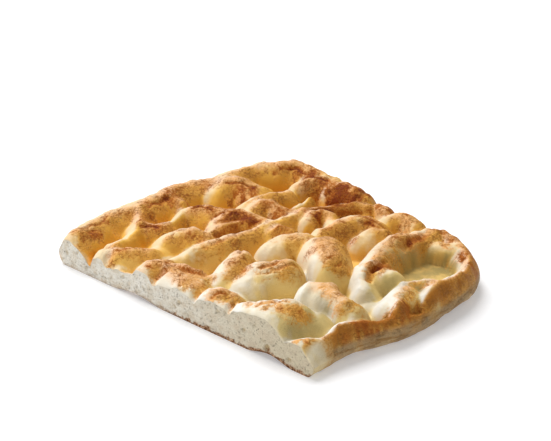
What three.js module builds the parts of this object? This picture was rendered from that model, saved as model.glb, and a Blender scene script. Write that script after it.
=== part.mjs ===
// Half of a dimpled flat loaf, cut straight across: one solid piece, in millimetres, +Z up.
// The cut face looks along -Y. The other three sides are the loaf's own baked edge.
// The origin is the centre of the bounding box, at the height of the surface that the loaf rests on.
import * as THREE from "three";
import { mergeVertices } from "three/addons/utils/BufferGeometryUtils.js";

// ---------- driving dimensions ----------
const CUT_Y = -113; // the plane of the cut
const DIMPLE_Z = 11; // how thick the bread is where fingers pressed it down
const MOUND_BLEND = 10; // how sharply two mounds meet: higher is a sharper crease
const MOUND_SPREAD = 1.25; // the foot of a mound, in half-widths
const RIM_RADIUS = 11; // how far in from the side the top rounds over
const WAIST_Z = 9; // height of the widest line of the side
const BASE_INSET = 6; // how far the side turns in from its widest line to the base
const LIFT_REACH = 30; // how far in from the edge the underside can stand off the surface

// The loaf's own edge, from the right end of the cut round the back to the left end of the cut.
const EDGE = [
  [111, CUT_Y], [115, -87], [124, -61], [134, -37], [139, -7], [141, 28], [134, 55],
  [116, 72],
  [91, 83], [63, 87], [28, 92], [-5, 103], [-42, 110], [-72, 114],
  [-92, 107],
  [-105, 85], [-115, 53], [-125, 18], [-134, -22], [-140, -62], [-138, -92], [-132, CUT_Y],
];
const RIGHT_CORNER = 7; // the places in EDGE of the two back corners
const LEFT_CORNER = 14;

// Mounds that the dough rose into between the finger marks. Each has a half-width, a pointedness
// (1 is a parabola, less is fuller, more is sharper) and the points along its crest.
const MOUNDS = {
  // the rim, from the left end of the cut round the back to the right end of the cut
  rim_left_end: [14, 1.0, [-117, -115, 23], [-123, -105, 25.5]],
  rim_left: [18, 1.2, [-123, -105, 25.5], [-126, -84, 26], [-124, -65, 26.5], [-119, -48, 26.5],
    [-118, -32, 27], [-117, -13, 27.5], [-116, 2, 28], [-110, 14, 28], [-102, 26, 27.5]],
  rim_left_lip: [8, 1.1, [-112, -20, 26], [-111, -12, 27], [-97, -12, 25]],
  rim_left_back: [12, 0.9, [-100, 36, 28.5], [-93, 50, 31], [-86, 63, 31.5], [-79, 70, 32.5]],
  rim_back: [14, 0.75, [-81, 69, 32.5], [-69, 76, 36], [-62, 82, 36], [-51, 85, 33.5], [-38, 86, 32],
    [-23, 85, 29.5]],
  rim_back_lobe_1: [12, 0.8, [-17, 78, 28.5], [-8, 83, 32], [1, 82, 32], [8, 82, 28.5]],
  rim_back_lobe_2: [10, 1.0, [29, 76, 28], [39, 75, 28.5]],
  rim_back_lobe_3: [11, 0.9, [48, 63, 27.5], [51, 69, 29.5], [58, 71, 29.5], [68, 69, 27.5]],
  rim_right_back: [10, 1.0, [111, 66, 25.5], [102, 69, 27], [91, 73, 26.5], [82, 66, 26.5]],
  rim_right_tip: [10, 1.0, [140, 24, 27.5], [137, 38, 27], [127, 51, 26.5], [112, 64, 26]],
  rim_right: [12, 0.9, [133, -9, 28], [131, 2, 29.5], [137, 10, 29.5], [140, 24, 28.5]],
  rim_right_low: [9, 1.0, [134, -48, 27], [139, -35, 26], [141, -21, 26]],
  rim_right_hole: [7, 1.0, [113, -11, 28], [119, -4, 27.5], [124, 2, 28.5]],
  rim_right_spur: [12, 0.8, [117, -38, 24], [118, -29, 27.5], [117, -17, 28]],
  rim_right_spur_foot: [9, 0.9, [123, -34, 28], [133, -46, 28]],
  rim_right_front: [10, 0.9, [112, -90, 24], [111, -83, 27], [113, -77, 28], [120, -68, 28],
    [127, -58, 28], [133, -47, 28]],
  rim_corner: [10, 0.9, [90, -116, 22], [96, -112, 23], [101, -107, 23.5], [108, -101, 23], [113, -92, 24]],
  // along the cut, left to right
  cut_1: [12, 0.9, [-90, -112, 19], [-88, -106, 23], [-80, -102, 26], [-69, -95, 26.5], [-61, -89, 25]],
  cut_2: [8, 0.8, [-67, -115, 20], [-55, -115, 20.5]],
  cut_3: [13, 0.9, [-43, -116, 25], [-43, -103, 27.5], [-39, -96, 27]],
  cut_4: [15, 0.8, [-30, -104, 23], [-23, -102, 26], [-10, -104, 27], [-2, -103, 25.5]],
  cut_4_back: [10, 1.0, [-31, -97, 27.5], [-20, -93, 27.5], [-10, -91, 27], [-2, -91, 25]],
  cut_5: [13, 0.75, [17, -112, 25], [19, -106, 28.5], [23, -102, 29], [29, -99, 27]],
  cut_5_front: [8, 0.7, [24, -114, 26.5], [34, -111, 26]],
  cut_6: [18, 0.5, [49, -111, 27], [57, -107, 31], [64, -103, 33.5], [72, -96, 33.5]],
  cut_6_side: [14, 1.0, [72, -96, 33], [80, -89, 30], [88, -82, 25]],
  // left part: ridges
  left_1: [9, 1.4, [-91, -95, 22], [-89, -82, 23.5], [-92, -71, 24.5], [-97, -62, 25.5]],
  left_1_spur: [9, 1.2, [-97, -62, 25.5], [-105, -53, 26], [-115, -43, 26]],
  left_1_bend: [12, 1.3, [-97, -62, 25.5], [-87, -59, 25], [-79, -50, 24.5]],
  left_2: [8, 1.4, [-79, -50, 24.5], [-80, -37, 24.5], [-83, -23, 26]],
  left_3: [13, 1.0, [-82, -24, 26.5], [-78, -22, 29.5], [-68, -16, 30.5], [-55, -11, 30.5],
    [-45, -5, 29.5], [-34, -1, 28], [-21, -1, 27]],
  left_3_front: [11, 0.9, [-48, -13, 30.5], [-49, -22, 28], [-47, -31, 26]],
  left_4: [15, 1.2, [-62, -75, 22], [-63, -66, 27.5], [-59, -57, 30], [-51, -51, 30.5], [-41, -47, 27]],
  left_5: [8, 1.2, [-44, -39, 26], [-41, -24, 27], [-33, -7, 27]],
  left_back: [16, 0.9, [-91, 23, 28], [-90, 32, 31], [-80, 39, 31], [-65, 39, 28]],
  // the long ridge across the middle, and the ridges behind it
  long_front: [15, 1.4, [-39, -87, 24], [-35, -74, 27.5], [-32, -63, 29], [-25, -51, 30], [-20, -34, 30],
    [-16, -13, 29]],
  long_middle: [12, 1.4, [-16, -13, 29], [-12, 9, 29], [-8, 28, 28]],
  long_back: [11, 1.1, [-10, 28, 28.5], [-2, 40, 29], [7, 54, 29], [14, 67, 29], [22, 70, 28]],
  behind_1: [11, 1.2, [-55, 13, 26], [-52, 22, 28], [-48, 34, 29], [-39, 49, 28]],
  behind_2: [12, 1.0, [-45, 10, 27], [-43, 19, 30], [-37, 24, 30], [-27, 23, 28.5], [-17, 24, 27]],
  behind_3: [11, 0.9, [-42, 64, 28], [-39, 73, 30.5], [-30, 79, 30.5], [-20, 82, 28.5]],
  behind_4: [6, 1.0, [-19, 32, 26], [-17, 39, 27], [-21, 50, 27]],
  behind_5: [9, 1.0, [-75, 64, 24], [-73, 69, 31]],
  // right part: round mounds
  round_1: [12.5, 0.65, [1, -56, 31], [6, -72, 31], [8, -82, 28]],
  round_2: [13, 0.65, [10, -28, 30], [11, -18, 32], [21, -9, 31.5]],
  round_2_back: [10, 0.9, [-8, -13, 28.5], [-5, -6, 31], [3, -2, 29.5]],
  round_3: [14.5, 0.65, [23, -76, 27], [25, -62, 32], [36, -52, 34]],
  round_4: [16, 0.5, [42, -11, 37.5], [56, -23, 36.5]],
  round_5: [12, 0.7, [68, -60, 32.5], [82, -59, 34], [98, -63, 32.5], [102, -62, 30]],
  round_6: [9, 0.9, [3, 19, 28.5], [0, 28, 31], [5, 35, 31], [13, 36, 29.5], [19, 31, 27.5]],
  round_7: [12, 1.0, [22, 6, 27], [23, 11, 30], [26, 20, 31], [29, 31, 31], [33, 44, 31], [39, 48, 30],
    [47, 48, 28]],
  round_8: [12, 0.9, [49, 28, 26], [51, 34, 29], [56, 40, 28]],
  // right part: the long bent mound with its lip and bulge
  bent: [13, 0.8, [84, -15, 30.5], [80, 1, 31.5], [76, 19, 32], [75, 33, 32]],
  bent_low: [12, 0.9, [101, -35, 19], [93, -30, 26], [85, -19, 30.5]],
  bent_back: [12, 0.9, [75, 33, 32], [80, 41, 31.5], [83, 55, 29], [86, 64, 27]],
  bent_fold: [8, 0.4, [93, 53, 24], [108, 59, 25]],
  bent_lip: [7, 0.7, [80, -15, 31], [84, -11, 32.5], [89, -3, 30.5]],
  bent_bulge: [11.5, 0.5, [95, -11, 30], [98, -9, 29.5]],
};

// Places near the edge where the baked underside stands off the surface: x, y, height, reach.
const LIFTS = [
  [-50, CUT_Y, 3, 27],
  [74, CUT_Y, 4, 20],
  [113, -75, 2.5, 20],
  [136, 14, 4, 30],
  [-138, -40, 2, 26],
];

// ---------- mesh fineness ----------
const CELL = 3.75;
const EDGE_BAND = [0, 0.8, 2.6, 5.5, 9]; // rows close together where the top rounds over
const SIDE_ROWS = 4;
const UNDERSIDE_RINGS = [9, 19, LIFT_REACH];
const CURVE_STEPS = 12; // straight pieces between two points of EDGE

// ---------- curves ----------
const clamp01 = (t) => Math.min(1, Math.max(0, t));
const mix = (a, b, t) => a + (b - a) * t;

// A smooth line through the points, one point after another.
function smoothLine(points) {
  const first = points[0].map((c, i) => 2 * c - points[1][i]);
  const last = points.at(-1).map((c, i) => 2 * c - points.at(-2)[i]);
  const p = [first, ...points, last];
  const line = [];
  for (let i = 1; i < p.length - 2; i++) {
    for (let k = 0; k < CURVE_STEPS; k++) {
      const t = k / CURVE_STEPS;
      const [a, b, c, d] = [p[i - 1], p[i], p[i + 1], p[i + 2]];
      line.push(b.map((_, j) => 0.5 * (2 * b[j] + (c[j] - a[j]) * t
        + (2 * a[j] - 5 * b[j] + 4 * c[j] - d[j]) * t * t
        + (3 * b[j] - a[j] - 3 * c[j] + d[j]) * t * t * t)));
    }
  }
  line.push(points.at(-1));
  return line;
}

// Turns a line into a function of 0..1 that moves along it at an even pace.
function evenPace(line) {
  const far = [0];
  for (let i = 1; i < line.length; i++) {
    far.push(far[i - 1] + Math.hypot(line[i][0] - line[i - 1][0], line[i][1] - line[i - 1][1]));
  }
  return (t) => {
    const s = clamp01(t) * far.at(-1);
    let i = 1;
    while (i < line.length - 1 && far[i] < s) i++;
    const k = (s - far[i - 1]) / (far[i] - far[i - 1]);
    return [mix(line[i - 1][0], line[i][0], k), mix(line[i - 1][1], line[i][1], k)];
  };
}

// Distance from a point to the piece a-b, and how far along the piece the nearest place is.
function toPiece(x, y, a, b) {
  const dx = b[0] - a[0];
  const dy = b[1] - a[1];
  const t = clamp01(((x - a[0]) * dx + (y - a[1]) * dy) / (dx * dx + dy * dy));
  return { t, d: Math.hypot(x - a[0] - t * dx, y - a[1] - t * dy) };
}

// ---------- the form ----------
const edgeLine = smoothLine(EDGE);
const rightSide = evenPace(edgeLine.slice(0, RIGHT_CORNER * CURVE_STEPS + 1));
const backSide = evenPace(edgeLine.slice(RIGHT_CORNER * CURVE_STEPS, LEFT_CORNER * CURVE_STEPS + 1));
const leftSide = evenPace(edgeLine.slice(LEFT_CORNER * CURVE_STEPS));

function edgeDistance(x, y) {
  let best = Infinity;
  for (let i = 1; i < edgeLine.length; i++) {
    best = Math.min(best, toPiece(x, y, edgeLine[i - 1], edgeLine[i]).d);
  }
  return best;
}

// How high one mound stands above the dimples.
function moundHeight(x, y, [halfWidth, pointedness, ...crest]) {
  let best = 0;
  for (let i = 1; i < crest.length; i++) {
    const { t, d } = toPiece(x, y, crest[i - 1], crest[i]);
    const far = d / (halfWidth * MOUND_SPREAD);
    const rise = mix(crest[i - 1][2], crest[i][2], t) - DIMPLE_Z;
    if (far < 1) best = Math.max(best, rise * (1 - far * far) ** pointedness);
  }
  return best;
}

function topHeight(x, y) {
  const joined = Object.values(MOUNDS).reduce((sum, m) => sum + moundHeight(x, y, m) ** MOUND_BLEND, 0);
  const full = DIMPLE_Z + joined ** (1 / MOUND_BLEND);
  const short = 1 - clamp01(edgeDistance(x, y) / RIM_RADIUS);
  return mix(WAIST_Z, full, Math.sqrt(1 - short * short));
}

function undersideHeight(x, y) {
  const bumps = LIFTS.map(([lx, ly, height, reach]) => {
    const far = Math.hypot(x - lx, y - ly) / reach;
    return far < 1 ? height * (1 - far * far) ** 2 : 0;
  });
  return Math.max(...bumps);
}

// ---------- the net of the top ----------
// u runs from 0 at the left side to 1 at the right side, and v from 0 at the cut to 1 at the back.
const width = rightSide(0)[0] - leftSide(1)[0];
const depth = backSide(0.5)[1] - CUT_Y;

function evenSteps(from, to, step) {
  const n = Math.round((to - from) / step);
  return Array.from({ length: n - 1 }, (_, i) => mix(from, to, (i + 1) / n));
}
const band = EDGE_BAND.at(-1);
const bandBefore = (end) => EDGE_BAND.map((b) => end - b).reverse();
const us = [...EDGE_BAND, ...evenSteps(band, width - band, CELL), ...bandBefore(width)];
const vs = [0, ...evenSteps(0, depth - band, CELL), ...bandBefore(depth)];
const columns = us.map((u) => u / width);
const rows = vs.map((v) => v / depth);

const cutSide = (u) => [mix(leftSide(1)[0], rightSide(0)[0], u), CUT_Y];

function netPoint(u, v) {
  const [left, right, cut, back] = [leftSide(1 - v), rightSide(v), cutSide(u), backSide(1 - u)];
  const corners = [leftSide(1), rightSide(0), leftSide(0), rightSide(1)];
  return [0, 1].map((j) => mix(left[j], right[j], u) + mix(cut[j], back[j], v)
    - mix(mix(corners[0][j], corners[1][j], u), mix(corners[2][j], corners[3][j], u), v));
}

// ---------- the skin ----------
const positions = [];
const triangles = [];
const addPoint = (x, y, z) => positions.push(x, y, z) / 3 - 1;
const addQuad = (a, b, c, d) => triangles.push(a, b, c, a, c, d);

// Joins two lines of points that run the same way. Seen from outside, the second line lies left of the first.
function addStrip(lower, upper) {
  for (let i = 1; i < lower.length; i++) addQuad(lower[i - 1], lower[i], upper[i], upper[i - 1]);
}

const net = rows.map((v) => columns.map((u) => {
  const [x, y] = netPoint(u, v);
  return addPoint(x, y, topHeight(x, y));
}));
for (let r = 1; r < net.length; r++) addStrip(net[r - 1], net[r]);

// The widest line, from the right end of the cut round the back to the left end of the cut.
const waist = [
  ...net.map((row) => row.at(-1)),
  ...net.at(-1).slice(0, -1).reverse(),
  ...net.slice(0, -1).reverse().map((row) => row[0]),
];
const at = (i) => [positions[3 * i], positions[3 * i + 1]];
const inward = waist.map((_, i) => {
  if (i === 0) return [-1, 0];
  if (i === waist.length - 1) return [1, 0];
  const [a, b] = [at(waist[i - 1]), at(waist[i + 1])];
  const length = Math.hypot(b[0] - a[0], b[1] - a[1]);
  return [-(b[1] - a[1]) / length, (b[0] - a[0]) / length];
});

// The side turns in below the widest line as a quarter of an ellipse.
const sideRows = [waist];
for (let k = 1; k <= SIDE_ROWS; k++) {
  const turn = (k / SIDE_ROWS) * (Math.PI / 2);
  const inset = BASE_INSET * (1 - Math.cos(turn));
  sideRows.push(waist.map((w, i) => {
    const [x, y] = at(w);
    const px = x + inward[i][0] * inset;
    const py = y + inward[i][1] * inset;
    const low = undersideHeight(px, py);
    return addPoint(px, py, mix(low, WAIST_Z, 1 - Math.sin(turn)));
  }));
}
for (let k = 1; k < sideRows.length; k++) addStrip(sideRows[k], sideRows[k - 1]);

// The cut face: a flat net between the top's first row and the base of the cut.
const baseLine = sideRows.at(-1);
const [baseRight, baseLeft] = [at(baseLine[0])[0], at(baseLine.at(-1))[0]];
const topRow = net[0];
const height = (i) => positions[3 * i + 2];
const across = topRow.map((i) => (at(i)[0] - at(topRow[0])[0]) / width);
const cutBase = across.map((s) => {
  const x = mix(baseLeft, baseRight, s);
  return [x, undersideHeight(x, CUT_Y)];
});
const leftRows = sideRows.map((row) => row.at(-1));
const rightRows = sideRows.map((row) => row[0]);
const cutNet = leftRows.map((leftPoint, k) => topRow.map((topPoint, i) => {
  if (k === 0) return topPoint;
  if (i === 0) return leftPoint;
  if (i === topRow.length - 1) return rightRows[k];
  const t = k / SIDE_ROWS;
  const s = across[i];
  const ends = [leftRows[0], rightRows[0], leftRows.at(-1), rightRows.at(-1)];
  const [x, z] = [(j) => at(j)[0], height].map((read, axis) => mix(read(topPoint), cutBase[i][axis], t)
    + mix(read(leftPoint), read(rightRows[k]), s)
    - mix(mix(read(ends[0]), read(ends[1]), s), mix(read(ends[2]), read(ends[3]), s), t));
  return addPoint(x, CUT_Y, z);
}));
for (let k = 1; k < cutNet.length; k++) addStrip(cutNet[k], cutNet[k - 1]);

// The underside: rings inside the base, flat where no lift reaches.
const middle = [0, 0];
const outline = [...baseLine, ...cutNet.at(-1).slice(1, -1)];
let ring = outline;
for (const reach of UNDERSIDE_RINGS) {
  const next = outline.map((i) => {
    const [x, y] = at(i);
    const k = reach / Math.hypot(middle[0] - x, middle[1] - y);
    const [px, py] = [mix(x, middle[0], k), mix(y, middle[1], k)];
    return addPoint(px, py, reach === LIFT_REACH ? 0 : undersideHeight(px, py));
  });
  addStrip([...next, next[0]], [...ring, ring[0]]);
  ring = next;
}
const centre = addPoint(...middle, 0);
ring.forEach((a, i) => triangles.push(a, centre, ring[(i + 1) % ring.length]));

// ---------- the solid ----------
let geometry = new THREE.BufferGeometry();
geometry.setAttribute("position", new THREE.Float32BufferAttribute(positions, 3));
geometry.setIndex(triangles);
geometry.computeBoundingBox();
const box = geometry.boundingBox;
geometry.translate(-(box.min.x + box.max.x) / 2, -(box.min.y + box.max.y) / 2, -box.min.z);
geometry = mergeVertices(geometry, 1e-4);
geometry.computeVertexNormals();

const crust = new THREE.MeshStandardMaterial({ color: 0xcf9a55, roughness: 0.75 });
const bread = new THREE.Mesh(geometry, crust);
bread.name = "bread";

const part = new THREE.Group();
part.name = "loaf";
part.add(bread);
export default part;
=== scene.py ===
"""Half of a dimpled pide bread on a pale floor, seen from the right and above its cut face."""

import math

import bpy
import numpy as np
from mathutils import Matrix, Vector


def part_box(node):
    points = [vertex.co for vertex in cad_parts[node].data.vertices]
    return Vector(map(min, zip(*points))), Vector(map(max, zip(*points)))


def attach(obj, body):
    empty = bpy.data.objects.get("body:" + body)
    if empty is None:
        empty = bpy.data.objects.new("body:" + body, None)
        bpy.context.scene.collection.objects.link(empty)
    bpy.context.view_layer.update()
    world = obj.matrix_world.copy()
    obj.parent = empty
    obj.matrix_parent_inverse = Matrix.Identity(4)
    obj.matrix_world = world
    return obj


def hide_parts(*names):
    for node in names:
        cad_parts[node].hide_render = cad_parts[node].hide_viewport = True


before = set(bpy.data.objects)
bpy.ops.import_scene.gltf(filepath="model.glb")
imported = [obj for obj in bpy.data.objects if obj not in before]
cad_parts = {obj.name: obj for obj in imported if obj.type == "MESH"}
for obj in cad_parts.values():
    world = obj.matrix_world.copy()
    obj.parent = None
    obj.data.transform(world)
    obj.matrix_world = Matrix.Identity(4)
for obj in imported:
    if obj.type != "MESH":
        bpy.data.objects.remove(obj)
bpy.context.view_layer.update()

MM = 0.001

# ---------- camera ----------
VIEW_AZIMUTH = 39.6  # degrees round from the cut face towards the right end
VIEW_ELEVATION = 30.0
VIEW_DISTANCE = 0.870
LENS_MM = 76.2
SENSOR_MM = 36
LOOKED_AT = Vector((0.003, -0.027, 0.0))  # the place on the floor that the loaf was framed round
AIM_UP = 0.0406  # the view is aimed this much above and right of that place
AIM_RIGHT = 0.0041


def add_camera():
    azimuth, elevation = math.radians(VIEW_AZIMUTH), math.radians(VIEW_ELEVATION)
    level = math.cos(elevation)
    back = Vector((math.sin(azimuth) * level, -math.cos(azimuth) * level, math.sin(elevation)))
    right = Vector((math.cos(azimuth), math.sin(azimuth), 0))
    up = back.cross(right)
    place = LOOKED_AT + back * VIEW_DISTANCE
    aim = LOOKED_AT + up * AIM_UP + right * AIM_RIGHT
    data = bpy.data.cameras.new("camera")
    data.lens = LENS_MM
    data.sensor_width = SENSOR_MM
    camera = bpy.data.objects.new("camera", data)
    camera.location = place
    camera.rotation_euler = (aim - place).to_track_quat("-Z", "Y").to_euler()
    bpy.context.scene.collection.objects.link(camera)
    bpy.context.scene.camera = camera


add_camera()

# ---------- the loaf's driving dimensions, in millimetres, as in the solid ----------
CUT_Y = -113
DIMPLE_Z = 11
MOUND_BLEND = 10
MOUND_SPREAD = 1.25
RIM_RADIUS = 11
WAIST_Z = 9
BASE_INSET = 6
LIFT_REACH = 30
CUT_ROUNDING = 3.5  # how far back from the cut its top edge is pressed down
CUT_DROP = CUT_ROUNDING * 0.45  # and how far down

EDGE = [
    (111, CUT_Y), (115, -87), (124, -61), (134, -37), (139, -7), (141, 28), (134, 55),
    (116, 72),
    (91, 83), (63, 87), (28, 92), (-5, 103), (-42, 110), (-72, 114),
    (-92, 107),
    (-105, 85), (-115, 53), (-125, 18), (-134, -22), (-140, -62), (-138, -92), (-132, CUT_Y),
]
RIGHT_CORNER = 7
LEFT_CORNER = 14

# Mounds between the finger marks: half-width, pointedness, and the points along the crest.
MOUNDS = {
    # the rim, from the left end of the cut round the back to the right end of the cut
    "rim_left_end": (14, 1.0, (-117, -115, 23), (-123, -105, 25.5)),
    "rim_left": (18, 1.2, (-123, -105, 25.5), (-126, -84, 26), (-124, -65, 26.5), (-119, -48, 26.5),
        (-118, -32, 27), (-117, -13, 27.5), (-116, 2, 28), (-110, 14, 28), (-102, 26, 27.5)),
    "rim_left_lip": (8, 1.1, (-112, -20, 26), (-111, -12, 27), (-97, -12, 25)),
    "rim_left_back": (12, 0.9, (-100, 36, 28.5), (-93, 50, 31), (-86, 63, 31.5), (-79, 70, 32.5)),
    "rim_back": (14, 0.75, (-81, 69, 32.5), (-69, 76, 36), (-62, 82, 36), (-51, 85, 33.5), (-38, 86, 32),
        (-23, 85, 29.5)),
    "rim_back_lobe_1": (12, 0.8, (-17, 78, 28.5), (-8, 83, 32), (1, 82, 32), (8, 82, 28.5)),
    "rim_back_lobe_2": (10, 1.0, (29, 76, 28), (39, 75, 28.5)),
    "rim_back_lobe_3": (11, 0.9, (48, 63, 27.5), (51, 69, 29.5), (58, 71, 29.5), (68, 69, 27.5)),
    "rim_right_back": (10, 1.0, (111, 66, 25.5), (102, 69, 27), (91, 73, 26.5), (82, 66, 26.5)),
    "rim_right_tip": (10, 1.0, (140, 24, 27.5), (137, 38, 27), (127, 51, 26.5), (112, 64, 26)),
    "rim_right": (12, 0.9, (133, -9, 28), (131, 2, 29.5), (137, 10, 29.5), (140, 24, 28.5)),
    "rim_right_low": (9, 1.0, (134, -48, 27), (139, -35, 26), (141, -21, 26)),
    "rim_right_hole": (7, 1.0, (113, -11, 28), (119, -4, 27.5), (124, 2, 28.5)),
    "rim_right_spur": (12, 0.8, (117, -38, 24), (118, -29, 27.5), (117, -17, 28)),
    "rim_right_spur_foot": (9, 0.9, (123, -34, 28), (133, -46, 28)),
    "rim_right_front": (10, 0.9, (112, -90, 24), (111, -83, 27), (113, -77, 28), (120, -68, 28),
        (127, -58, 28), (133, -47, 28)),
    "rim_corner": (10, 0.9, (90, -116, 22), (96, -112, 23), (101, -107, 23.5), (108, -101, 23),
        (113, -92, 24)),
    # along the cut, left to right
    "cut_1": (12, 0.9, (-90, -112, 19), (-88, -106, 23), (-80, -102, 26), (-69, -95, 26.5), (-61, -89, 25)),
    "cut_2": (8, 0.8, (-67, -115, 20), (-55, -115, 20.5)),
    "cut_3": (13, 0.9, (-43, -116, 25), (-43, -103, 27.5), (-39, -96, 27)),
    "cut_4": (15, 0.8, (-30, -104, 23), (-23, -102, 26), (-10, -104, 27), (-2, -103, 25.5)),
    "cut_4_back": (10, 1.0, (-31, -97, 27.5), (-20, -93, 27.5), (-10, -91, 27), (-2, -91, 25)),
    "cut_5": (13, 0.75, (17, -112, 25), (19, -106, 28.5), (23, -102, 29), (29, -99, 27)),
    "cut_5_front": (8, 0.7, (24, -114, 26.5), (34, -111, 26)),
    "cut_6": (18, 0.5, (49, -111, 27), (57, -107, 31), (64, -103, 33.5), (72, -96, 33.5)),
    "cut_6_side": (14, 1.0, (72, -96, 33), (80, -89, 30), (88, -82, 25)),
    # left part: ridges
    "left_1": (9, 1.4, (-91, -95, 22), (-89, -82, 23.5), (-92, -71, 24.5), (-97, -62, 25.5)),
    "left_1_spur": (9, 1.2, (-97, -62, 25.5), (-105, -53, 26), (-115, -43, 26)),
    "left_1_bend": (12, 1.3, (-97, -62, 25.5), (-87, -59, 25), (-79, -50, 24.5)),
    "left_2": (8, 1.4, (-79, -50, 24.5), (-80, -37, 24.5), (-83, -23, 26)),
    "left_3": (13, 1.0, (-82, -24, 26.5), (-78, -22, 29.5), (-68, -16, 30.5), (-55, -11, 30.5),
        (-45, -5, 29.5), (-34, -1, 28), (-21, -1, 27)),
    "left_3_front": (11, 0.9, (-48, -13, 30.5), (-49, -22, 28), (-47, -31, 26)),
    "left_4": (15, 1.2, (-62, -75, 22), (-63, -66, 27.5), (-59, -57, 30), (-51, -51, 30.5), (-41, -47, 27)),
    "left_5": (8, 1.2, (-44, -39, 26), (-41, -24, 27), (-33, -7, 27)),
    "left_back": (16, 0.9, (-91, 23, 28), (-90, 32, 31), (-80, 39, 31), (-65, 39, 28)),
    # the long ridge across the middle, and the ridges behind it
    "long_front": (15, 1.4, (-39, -87, 24), (-35, -74, 27.5), (-32, -63, 29), (-25, -51, 30), (-20, -34, 30),
        (-16, -13, 29)),
    "long_middle": (12, 1.4, (-16, -13, 29), (-12, 9, 29), (-8, 28, 28)),
    "long_back": (11, 1.1, (-10, 28, 28.5), (-2, 40, 29), (7, 54, 29), (14, 67, 29), (22, 70, 28)),
    "behind_1": (11, 1.2, (-55, 13, 26), (-52, 22, 28), (-48, 34, 29), (-39, 49, 28)),
    "behind_2": (12, 1.0, (-45, 10, 27), (-43, 19, 30), (-37, 24, 30), (-27, 23, 28.5), (-17, 24, 27)),
    "behind_3": (11, 0.9, (-42, 64, 28), (-39, 73, 30.5), (-30, 79, 30.5), (-20, 82, 28.5)),
    "behind_4": (6, 1.0, (-19, 32, 26), (-17, 39, 27), (-21, 50, 27)),
    "behind_5": (9, 1.0, (-75, 64, 24), (-73, 69, 31)),
    # right part: round mounds
    "round_1": (12.5, 0.65, (1, -56, 31), (6, -72, 31), (8, -82, 28)),
    "round_2": (13, 0.65, (10, -28, 30), (11, -18, 32), (21, -9, 31.5)),
    "round_2_back": (10, 0.9, (-8, -13, 28.5), (-5, -6, 31), (3, -2, 29.5)),
    "round_3": (14.5, 0.65, (23, -76, 27), (25, -62, 32), (36, -52, 34)),
    "round_4": (16, 0.5, (42, -11, 37.5), (56, -23, 36.5)),
    "round_5": (12, 0.7, (68, -60, 32.5), (82, -59, 34), (98, -63, 32.5), (102, -62, 30)),
    "round_6": (9, 0.9, (3, 19, 28.5), (0, 28, 31), (5, 35, 31), (13, 36, 29.5), (19, 31, 27.5)),
    "round_7": (12, 1.0, (22, 6, 27), (23, 11, 30), (26, 20, 31), (29, 31, 31), (33, 44, 31), (39, 48, 30),
        (47, 48, 28)),
    "round_8": (12, 0.9, (49, 28, 26), (51, 34, 29), (56, 40, 28)),
    # right part: the long bent mound with its lip and bulge
    "bent": (13, 0.8, (84, -15, 30.5), (80, 1, 31.5), (76, 19, 32), (75, 33, 32)),
    "bent_low": (12, 0.9, (101, -35, 19), (93, -30, 26), (85, -19, 30.5)),
    "bent_back": (12, 0.9, (75, 33, 32), (80, 41, 31.5), (83, 55, 29), (86, 64, 27)),
    "bent_fold": (8, 0.4, (93, 53, 24), (108, 59, 25)),
    "bent_lip": (7, 0.7, (80, -15, 31), (84, -11, 32.5), (89, -3, 30.5)),
    "bent_bulge": (11.5, 0.5, (95, -11, 30), (98, -9, 29.5)),
}

# How far each crest has browned, from 0 for pale dough to 1 for the darkest crust.
BROWNED = {
    "rim_left_end": 0.6, "rim_left": 0.6, "rim_left_lip": 0.8, "rim_left_back": 0.55,
    "rim_back": 0.55, "rim_back_lobe_1": 0.8, "rim_back_lobe_2": 0.85, "rim_back_lobe_3": 0.5,
    "rim_right_back": 0.6, "rim_right_tip": 0.75, "rim_right": 0.6, "rim_right_low": 0.55,
    "rim_right_hole": 0.45, "rim_right_spur": 0.45, "rim_right_spur_foot": 0.5, "rim_right_front": 0.5,
    "rim_corner": 0.2,
    "cut_1": 0.5, "cut_2": 0.45, "cut_3": 0.66, "cut_4": 0.55, "cut_4_back": 0.7, "cut_5": 0.6,
    "cut_5_front": 0.35, "cut_6": 0.28, "cut_6_side": 0.1,
    "left_1": 0.2, "left_1_spur": 0.6, "left_1_bend": 0.62, "left_2": 0.4, "left_3": 0.6,
    "left_3_front": 0.8, "left_4": 0.5, "left_5": 0.75, "left_back": 0.5,
    "long_front": 0.45, "long_middle": 0.4, "long_back": 0.66, "behind_1": 0.45, "behind_2": 0.7,
    "behind_3": 0.8, "behind_4": 0.4, "behind_5": 0.6,
    "round_1": 0.5, "round_2": 0.42, "round_2_back": 0.75, "round_3": 0.45, "round_4": 0.58, "round_5": 0.5,
    "round_6": 0.6, "round_7": 0.5, "round_8": 0.45,
    "bent": 0.5, "bent_low": 0.25, "bent_back": 0.65, "bent_fold": 0.1, "bent_lip": 0.85, "bent_bulge": 0.1,
}
BROWNING_SHIFT = (5, 1)  # the caps have browned this far right and back of their crests

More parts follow.
